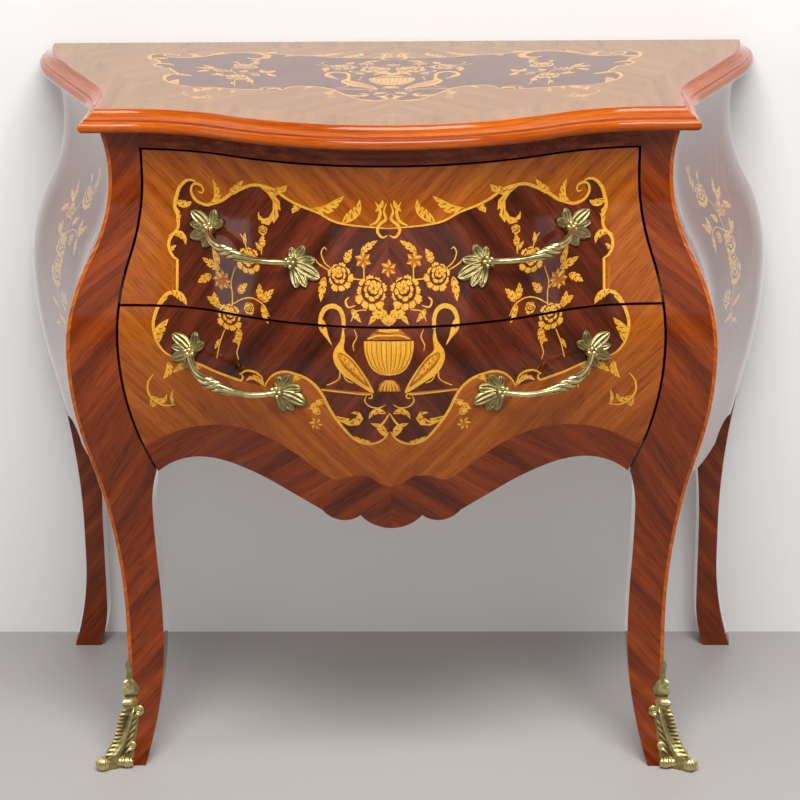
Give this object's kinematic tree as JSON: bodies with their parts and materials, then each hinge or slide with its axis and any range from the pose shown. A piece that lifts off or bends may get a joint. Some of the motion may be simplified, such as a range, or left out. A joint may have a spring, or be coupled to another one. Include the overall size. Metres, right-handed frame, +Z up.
{
  "type": "bombe chest of drawers",
  "caption": "Small bombe commode with two drawers, serpentine swelling front, flared sides, cabriole legs, a moulded top, leafy brass pulls and brass foot mounts.",
  "frame": {"origin": "on the floor, under the middle of the chest's overall box", "axes": "+X to the right as one faces the chest, +Y towards its back, +Z up"},
  "size_m": [0.904, 0.4787, 0.785],
  "materials": {
    "kingwood_veneer": "gloss",
    "marquetry": "gloss",
    "lacquered_moulding": "gloss",
    "oak": "matte",
    "pine": "matte",
    "brass": "satin",
    "iron": "matte"
  },
  "bodies": {
    "case": {"back_bottom_rail": "pine", "back_panel": "pine", "back_top_rail": "pine", "bottom_board": "pine", "bottom_front_rail": "oak", "dust_board": "pine", "front_left_leg": "kingwood_veneer", "front_right_leg": "kingwood_veneer", "left_sabot": "brass", "left_side_panel": "kingwood_veneer", "lower_drawer_stops": "oak", "lower_left_guide": "oak", "lower_left_runner": "oak", "lower_right_guide": "oak", "lower_right_runner": "oak", "middle_back_rail": "oak", "middle_front_rail": "oak", "rear_left_leg": "kingwood_veneer", "rear_right_leg": "kingwood_veneer", "right_sabot": "brass", "right_side_panel": "kingwood_veneer", "sabot_pins": "brass", "top_front_moulding": "lacquered_moulding", "top_front_rail": "kingwood_veneer", "top_glue_blocks": "pine", "top_left_moulding": "lacquered_moulding", "top_panel": "marquetry", "top_right_moulding": "lacquered_moulding", "top_screws": "iron", "upper_drawer_stops": "oak", "upper_left_guide": "oak", "upper_left_kicker": "oak", "upper_left_runner": "oak", "upper_right_guide": "oak", "upper_right_kicker": "oak", "upper_right_runner": "oak"},
    "upper_drawer": {"upper_drawer_back": "oak", "upper_drawer_bottom": "oak", "upper_drawer_front": "marquetry", "upper_drawer_handle_bolts": "brass", "upper_drawer_left_handle": "brass", "upper_drawer_left_side": "oak", "upper_drawer_right_handle": "brass", "upper_drawer_right_side": "oak"},
    "lower_drawer": {"lower_drawer_back": "oak", "lower_drawer_bottom": "oak", "lower_drawer_front": "marquetry", "lower_drawer_handle_bolts": "brass", "lower_drawer_left_handle": "brass", "lower_drawer_left_side": "oak", "lower_drawer_right_handle": "brass", "lower_drawer_right_side": "oak"}
  },
  "joints": [
    {"name": "upper_drawer_slide", "type": "slide", "parent": "case", "child": "upper_drawer", "axis": [0, -1, 0], "range_m": [0, 0.26]},
    {"name": "lower_drawer_slide", "type": "slide", "parent": "case", "child": "lower_drawer", "axis": [0, -1, 0], "range_m": [0, 0.26]}
  ]
}
